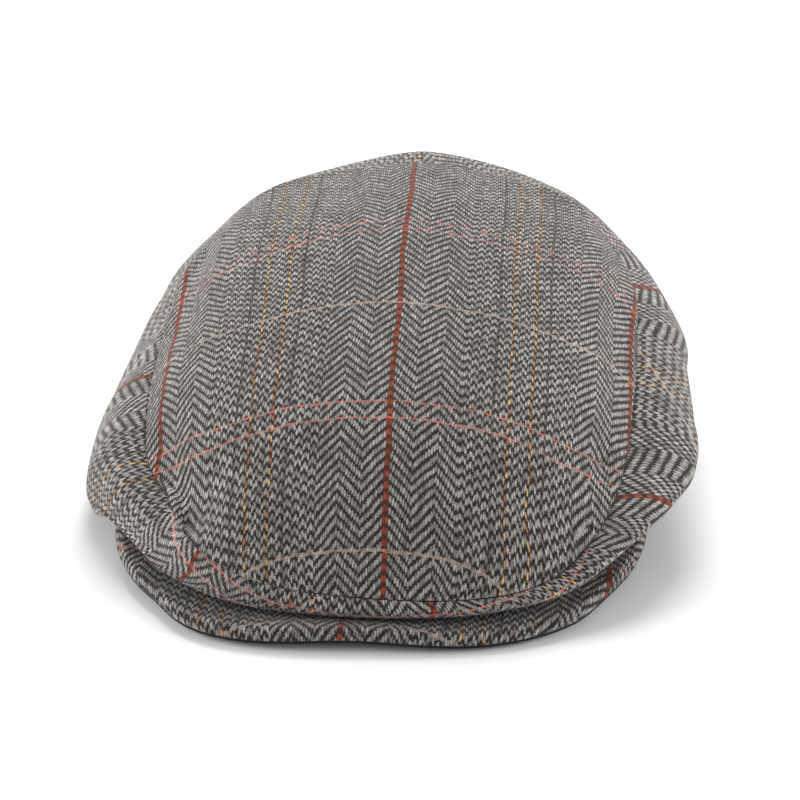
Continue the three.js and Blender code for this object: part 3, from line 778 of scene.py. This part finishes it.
    # Height of the yarns
    crossing = n.range(thread, 0.1, 0.5, 0.45, 0.2)
    height = n.math("MAXIMUM", float_up, crossing)
    height = n.math("ADD", height, n.math("MULTIPLY", fibre, 0.35))
    shader = n.cloth(colour, height, relief=0.7, distance=0.00035, roughness=0.93, specular=0.2)
    shader.inputs["Sheen Weight"].default_value = bloom
    shader.inputs["Sheen Roughness"].default_value = 0.45


TWILL_PITCH = 0.0008


def underside_material(look):
    """Twill under the peak: a real lower cloth, coloured near black so that its edge paints the shade under
    the peak's rim.
    """
    material = bpy.data.materials.new("underside_twill")
    n = Nodes(material)
    place = n.add("ShaderNodeUVMap", uv_map="fabric").outputs[0]
    split = n.add("ShaderNodeSeparateXYZ")
    n.join(split.inputs[0], place)
    slant = n.math("ADD", *[n.math("DIVIDE", split.outputs[axis], TWILL_PITCH) for axis in (0, 1)])
    rib = n.range(n.math("ABSOLUTE", n.centred(n.math("FRACT", slant))), 0.05, 0.5)
    fibre = n.noise(place, 1400.0, 3.0)
    tone = n.math("ADD", n.range(rib, 0.0, 1.0, 1.25, 0.7, False), n.centred(fibre))
    height = n.math("SUBTRACT", 1.0, rib)
    colour = n.scaled(opaque(look.underside), tone)
    n.cloth(colour, height, relief=0.5, distance=0.0002, roughness=0.85, specular=0.25)


# The side band is cut as a curved strip: how it bends, and where its stripes lie
STRIP_RADIUS = 0.26
STRIP_TURN = 1.0
STRIP_TWIST = 0.3
STRIP_STRETCH = 1.045
STRIP_RED = 0.0245
STRIP_PINK = 0.0435

# Where the stripes lie on the top panel: the cream one ahead of its middle, and how far the warp
# is set over along the panel and drawn together across it
CREAM_FROM_SEAM = 0.0165
SKEW_AT = (0.0, 0.06, 0.14, 0.2, 0.28, 0.36, 0.47, 0.6, 0.8, 1.0)
SKEW = (0.0061, 0.0048, 0.00195, 0.0015, 0.0015, 0.00175, 0.0021, 0.0005, -0.0003, -0.0025)
CLOSER_AT = (-0.096, -0.045, 0.0, 0.045, 0.096)
CLOSER = (1.037, 1.045, 1.035, 1.036, 1.012)

# How far the weft has slipped forward at places across the panel: at its front, middle and back
SLIP_AT = (-0.09, -0.06, -0.03, 0.0, 0.03, 0.06, 0.09)
SLIP_FRONT = (-0.011, -0.0015, 0.0, 0.0, 0.0, -0.0015, -0.011)
SLIP_MIDDLE = (0.002, 0.0095, 0.0045, 0.0, 0.003, 0.002, -0.009)
SLIP_BACK = (0.002, 0.009, 0.007, 0.002, 0.0045, 0.002, -0.003)

# How far the warp has slipped round the strip
STRIP_SLIP_AT = (-0.15, -0.10, -0.06, -0.03, 0.0, 0.06, 0.105, 0.16)
STRIP_SLIP = (-0.005, -0.0065, -0.006, -0.002, 0.0, 0.003, 0.0085, -0.007)


class FLATCAP_OT_top_panel(bpy.types.Operator):
    """Add the one-piece top of the crown"""

    bl_idname = "flatcap.top_panel"
    bl_label = "Top panel"

    def execute(self, context):
        sizes, steps = context.scene.cap_sizes, context.scene.cap_mesh
        across = np.linspace(0, 1, steps.panel_across + 1)
        backs = np.linspace(0, 1, steps.panel_back + 1)
        surface = panel_surface(sizes, across, backs)
        sideways = lengths_along(surface, 1, 1)
        lengthways = lengths_along(surface, 0, 0)
        middle = steps.panel_across // 2
        reference = steps.panel_back // 2
        u = sideways - sideways[:, middle:middle + 1]
        v = lengthways - lengthways[reference:reference + 1] + lengthways[reference, middle]
        skew = curve_through(SKEW_AT, SKEW, backs)[:, None]
        fabric = relaxed_fabric(surface, np.stack([u, v], axis=-1), PANEL_PASSES)
        for corner in (surface[0, 0], surface[0, -1]):
            fabric = smoothed_at_corner(surface, fabric, corner)
        rows = (SLIP_FRONT, SLIP_MIDDLE, SLIP_BACK)
        slips = [curve_through(SLIP_AT, row, fabric[..., 0]) for row in rows]
        to_middle = smooth_step((backs - 0.35) / 0.25)[:, None]
        to_back = smooth_step((backs - 0.6) / 0.2)[:, None]
        fabric[..., 1] += slips[0] + (slips[1] - slips[0]) * to_middle + (slips[2] - slips[1]) * to_back
        fabric[..., 0] *= curve_through(CLOSER_AT, CLOSER, fabric[..., 0])
        fabric -= np.stack(np.broadcast_arrays(skew, CREAM_FROM_SEAM), axis=-1)
        seam_u = np.minimum(sideways, sideways[:, -1:] - sideways)
        seam_v = np.minimum(lengthways, lengthways[-1:] - lengthways)
        distance = np.minimum(seam_u, seam_v) + sizes.seam_gap / 2
        normals = outward_facing(surface, (0, sizes.hem_back, 0))
        slack = slack_at(surface, distance, PANEL_SLACK, PANEL_SLACK_SIZE, 2)
        outer, inner = wall_faces(sizes, surface, normals, distance, slack, 1)
        panel = add_wall("top_panel_cloth", outer, inner, fabric, "crown_weave")
        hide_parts("top_panel")
        return {"FINISHED"}


class FLATCAP_OT_side_band(bpy.types.Operator):
    """Add the side band that rolls under to the hem"""

    bl_idname = "flatcap.side_band"
    bl_label = "Side band"

    def execute(self, context):
        sizes, steps = context.scene.cap_sizes, context.scene.cap_mesh
        end = BACK_CENTRE - 0.002
        places = np.linspace(-end, end, steps.band_round + 1)
        downs = np.linspace(0, 1, steps.band_down + 1)
        surface, outward = band_surface(sizes, places, downs)
        round_seam = lengths_along(surface, 1, None)[0]
        along = round_seam - round_seam[steps.band_round // 2]
        down = lengths_along(surface, 0, None)
        turn = STRIP_TURN * np.tanh(along / STRIP_RADIUS / STRIP_TURN)
        spans = np.diff(along, prepend=along[0])
        line = np.stack([np.cumsum(np.cos(turn) * spans), np.cumsum(np.sin(turn) * spans)])
        line -= line[:, steps.band_round // 2, None]
        across_strip = line[0] - STRIP_TWIST * down * np.sin(turn)
        along_strip = line[1] + down * np.cos(turn)
        fabric = relaxed_fabric(surface, np.stack([across_strip, along_strip], axis=-1), BAND_PASSES)
        slip = curve_through(STRIP_SLIP_AT, STRIP_SLIP, fabric[..., 0])
        fabric[..., 0] = fabric[..., 0] * STRIP_STRETCH - STRIP_RED + slip
        fabric[..., 1] += STRIP_PINK
        ends = np.minimum(round_seam, round_seam[-1] - round_seam)[None]
        distance = np.minimum(down, ends)
        normals = outward_facing(surface, (0, sizes.hem_back, 0.03))
        slack = slack_at(surface, distance, BAND_SLACK, BAND_SLACK_SIZE, 4)
        slack = slack * smooth_step((BAND_SLACK_END - downs) / BAND_SLACK_FADE)[:, None]
        outer, inner = wall_faces(sizes, surface, normals, distance, slack, 3)
        inner[-1] = hem_point(sizes, hem_angle(places), sizes.cloth)
        inner[-1, :, 2] = outer[-1, :, 2]
        band = add_wall("side_band_cloth", outer, inner, fabric, "band_weave")
        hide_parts("side_band")
        return {"FINISHED"}


# Where the stripes lie on the peak
PEAK_RED = 0.0084
PEAK_CREAM = 0.008
PEAK_CLOSER = 1.047
PEAK_ARC = 0.010
PEAK_ARC_REACH = 0.06

# The outline of the peak: how full its front is, the share of the rim that the front takes,
# where the ends stop, how much closer the rows lie towards the rim, and how far the rim is set
# back at places across (minus is forward)
RIM_FULLNESS = 2.6
RIM_FRONT = 0.8
PEAK_ENDS = 0.985
ROWS_TO_RIM = 1.6
ASKEW_AT = (-0.097, -0.077, -0.067, -0.058, -0.045, -0.03, -0.012, 0.0, 0.074, 0.086, 0.097)
ASKEW = (0.0, 0.0, -0.0042, -0.0056, -0.005, -0.0035, -0.0015, -0.0005, 0.0, 0.0055, 0.005)

# The rolled rim: the upper cloth curls down over this width to an edge, and shows the lower one
RIM_REACH = 0.0026
RIM_EDGE = 0.0006
RIM_UNDER = 0.001
RIM_INSET = 0.0006

# Where the front rim of the peak lifts off what the cap rests on
RIM_LIFT_FROM = 0.119
RIM_LIFT_AT = -0.006
RIM_LIFT_SPREAD = 0.037


def rim_point(sizes, shares):
    """Rim of the peak from its end at minus X (-1) to its end at plus X (1)."""
    turn = np.abs(shares) / RIM_FRONT
    side = np.sign(shares)
    end = hem_point(sizes, np.array([float(PEAK_END_ANGLE)]), sizes.cloth)[0]
    half = sizes.peak_width / 2
    bend = np.maximum(turn - 1, 0) / (1 / RIM_FRONT - 1) * math.pi / 2
    angle = np.minimum(turn, 1) * math.pi / 2
    power = 2 / RIM_FULLNESS
    depth = sizes.peak_reach - sizes.peak_widest
    x_front = half * np.sin(angle) ** power
    y_front = -sizes.peak_widest - depth * np.maximum(np.cos(angle), 0) ** power
    x_side = end[0] + (half - end[0]) * np.cos(bend)
    y_side = -sizes.peak_widest + (end[1] + sizes.peak_widest) * np.sin(bend)
    x = side * np.where(turn > 1, x_side, x_front)
    y = np.where(turn > 1, y_side, y_front)
    return np.stack([x, y, np.zeros_like(x)], axis=-1)


def peak_leaf(sizes, steps, level, is_upper):
    """Outer and inner grids of one leaf of the peak, and its fabric places."""
    shares = np.linspace(-PEAK_ENDS, PEAK_ENDS, steps.peak_along + 1)
    outs = 1 - (1 - np.linspace(0, 1, steps.peak_out + 1)) ** ROWS_TO_RIM
    root = hem_point(sizes, shares * PEAK_END_ANGLE, sizes.cloth)
    rim = rim_point(sizes, shares)
    rim[:, 1] += curve_through(ASKEW_AT, ASKEW, rim[:, 0])
    plan = root[None] * (1 - outs[:, None, None]) + rim[None] * outs[:, None, None]
    to_rim = np.linalg.norm(plan - plan[-1:], axis=2)
    if not is_upper:
        inset = RIM_INSET * outs[:, None, None] ** 3
        inward = (root - rim) / np.linalg.norm(root - rim, axis=1, keepdims=True)
        plan += inset * inward[None]
    raised = smooth_step((-plan[..., 1] - RIM_LIFT_FROM) / (sizes.peak_reach - RIM_LIFT_FROM))
    raised *= np.exp(-((plan[..., 0] - RIM_LIFT_AT) / RIM_LIFT_SPREAD) ** 2)
    base = peak_floor(sizes, plan[..., 0]) + sizes.rim_lift * raised + level
    swell = PEAK_SLACK * soft_noise(plan, PEAK_SLACK_SIZE, 5)
    top, bottom = plan.copy(), plan.copy()
    top[..., 2] = base + sizes.peak_cloth
    bottom[..., 2] = base
    inside = np.clip(1 - to_rim / RIM_REACH, 0, 1)
    curl = 1 - np.sqrt(1 - 0.9999 * inside**2)
    if is_upper:
        ease = smooth_step(to_rim / RIM_REACH / 2)
        top[..., 2] += swell * ease - curl * (level + sizes.peak_cloth - RIM_UNDER - RIM_EDGE)
        bottom[..., 2] -= curl * (level - RIM_UNDER - sizes.seam_gap)
    else:
        top[..., 2] -= curl * (sizes.peak_cloth - RIM_UNDER)
    fabric = relaxed_fabric(top, plan[..., :2], PEAK_PASSES)
    fabric = fabric * np.array([PEAK_CLOSER, 1.0]) + np.array([PEAK_RED, sizes.peak_reach - PEAK_CREAM])
    fabric[..., 1] += PEAK_ARC * smooth_step(np.abs(fabric[..., 0]) / PEAK_ARC_REACH)
    return top, bottom, fabric


class FLATCAP_OT_peak(bpy.types.Operator):
    """Add the upper and lower cloth of the peak"""

    bl_idname = "flatcap.peak"
    bl_label = "Peak"

    def execute(self, context):
        sizes, steps = context.scene.cap_sizes, context.scene.cap_mesh
        level = sizes.peak_cloth + sizes.seam_gap
        top, bottom, fabric = peak_leaf(sizes, steps, level, True)
        upper = add_wall("peak_top_cloth", top, bottom, fabric, "peak_weave")
        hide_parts("peak_upper_cloth")
        # The lower leaf is real cloth; its near-black edge under the rolled rim is a painted shade line
        top, bottom, fabric = peak_leaf(sizes, steps, 0.0, False)
        lower = add_wall("peak_under_cloth", top, bottom, fabric, "underside_twill")
        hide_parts("peak_lower_cloth")
        return {"FINISHED"}


class FLATCAP_OT_cloths(bpy.types.Operator):
    """Add the tweeds, with their lighter and darker copies of painted light, and the near-black twill whose
    colour paints the shade under the peak
    """

    bl_idname = "flatcap.cloths"
    bl_label = "Cloths"

    def execute(self, context):
        look = context.scene.tweed_look
        tweed_material(look, "crown_weave")
        # Same tweed three times: the band's copy is painted lighter as painted light, and the peak's copy
        # painted darker as painted shade
        tweed_material(look, "band_weave", 1.06, 0.2)
        tweed_material(look, "peak_weave", 0.9)
        underside_material(look)
        return {"FINISHED"}


# Soft round lights: name, place, width and power
LIGHTS = (
    ("overhead", (0.0, 1.15, 1.45), 1.1, 29.5),
    ("left_fill", (-1.6, -0.1, 0.42), 1.4, 37.0),
    ("right_fill", (1.6, -0.1, 0.42), 1.4, 30.0),
)
LIGHTS_AIM = (0, 0, 0.03)
FLOOR_REACH = 4.0
FLOOR_BELOW = 0.0004


def add_area_light(name, place, size, power, target=LIGHTS_AIM):
    light = bpy.data.lights.new(name, "AREA")
    light.shape = "DISK"
    light.size = size
    light.energy = power
    lamp = bpy.data.objects.new(name, light)
    lamp.location = place
    aim = Vector(target) - Vector(place)
    lamp.rotation_euler = aim.to_track_quat("-Z", "Y").to_euler()
    bpy.context.scene.collection.objects.link(lamp)


class FLATCAP_OT_stage(bpy.types.Operator):
    """Add the pale floor, the soft lights and the camera"""

    bl_idname = "flatcap.stage"
    bl_label = "Stage"

    def execute(self, context):
        studio = context.scene.studio_look
        mesh = bpy.data.meshes.new("floor")
        corners = [(x * FLOOR_REACH, y * FLOOR_REACH, 0) for x, y in ((-1, -1), (1, -1), (1, 1), (-1, 1))]
        mesh.from_pydata(corners, [], [(0, 1, 2, 3)])
        paper = bpy.data.materials.new("pale_floor")
        paper.use_nodes = True
        shader = paper.node_tree.nodes["Principled BSDF"]
        shader.inputs["Base Color"].default_value = opaque(studio.floor)
        shader.inputs["Roughness"].default_value = 0.9
        shader.inputs["Specular IOR Level"].default_value = 0.1
        mesh.materials.append(paper)
        floor = bpy.data.objects.new("floor", mesh)
        floor.location.z = -FLOOR_BELOW
        context.scene.collection.objects.link(floor)

        world = bpy.data.worlds.new("studio")
        world.use_nodes = True
        sky = world.node_tree.nodes["Background"]
        sky.inputs["Color"].default_value = (1, 1, 1, 1)
        sky.inputs["Strength"].default_value = studio.sky
        context.scene.world = world
        for light in LIGHTS:
            add_area_light(*light)
        context.scene.view_settings.view_transform = "Standard"

        azimuth, elevation = studio.azimuth, studio.elevation
        back = Vector((math.sin(azimuth) * math.cos(elevation),
                       -math.cos(azimuth) * math.cos(elevation), math.sin(elevation)))
        right = Vector((math.cos(azimuth), math.sin(azimuth), 0))
        up = back.cross(right)
        camera = bpy.data.cameras.new("camera")
        camera.lens = camera.sensor_width * studio.distance / studio.view_width
        eye = bpy.data.objects.new("camera", camera)
        aim = Vector((0, 0, studio.aim_height)) + right * studio.frame_right - up * studio.frame_down
        eye.location = aim + back * studio.distance
        eye.rotation_euler = (-back).to_track_quat("-Z", "Y").to_euler()
        context.scene.collection.objects.link(eye)
        context.scene.camera = eye
        return {"FINISHED"}


OPERATORS = (
    FLATCAP_OT_cloths,
    FLATCAP_OT_top_panel,
    FLATCAP_OT_side_band,
    FLATCAP_OT_peak,
    FLATCAP_OT_stage,
)


class FLATCAP_PT_panel(bpy.types.Panel):
    bl_idname = "FLATCAP_PT_panel"
    bl_label = "Flat cap"
    bl_space_type = "VIEW_3D"
    bl_region_type = "UI"
    bl_category = "Flat cap"

    def draw(self, context):
        for operator in OPERATORS:
            self.layout.operator(operator.bl_idname)
        for group in (context.scene.cap_sizes, context.scene.cap_mesh,
                      context.scene.tweed_look, context.scene.studio_look):
            box = self.layout.box()
            for key in group.__annotations__:
                box.prop(group, key)


GROUPS = {
    "cap_sizes": CapSizes,
    "cap_mesh": CapMesh,
    "tweed_look": TweedLook,
    "studio_look": StudioLook,
}


def register():
    for name, group in GROUPS.items():
        bpy.utils.register_class(group)
        setattr(bpy.types.Scene, name, PointerProperty(type=group))
    for operator in (*OPERATORS, FLATCAP_PT_panel):
        bpy.utils.register_class(operator)


def unregister():
    for operator in reversed((*OPERATORS, FLATCAP_PT_panel)):
        bpy.utils.unregister_class(operator)
    for name, group in GROUPS.items():
        delattr(bpy.types.Scene, name)
        bpy.utils.unregister_class(group)


def main():
    register()
    bpy.ops.flatcap.cloths()
    bpy.ops.flatcap.top_panel()
    bpy.ops.flatcap.side_band()
    bpy.ops.flatcap.peak()
    bpy.ops.flatcap.stage()


if __name__ == "__main__":
    main()
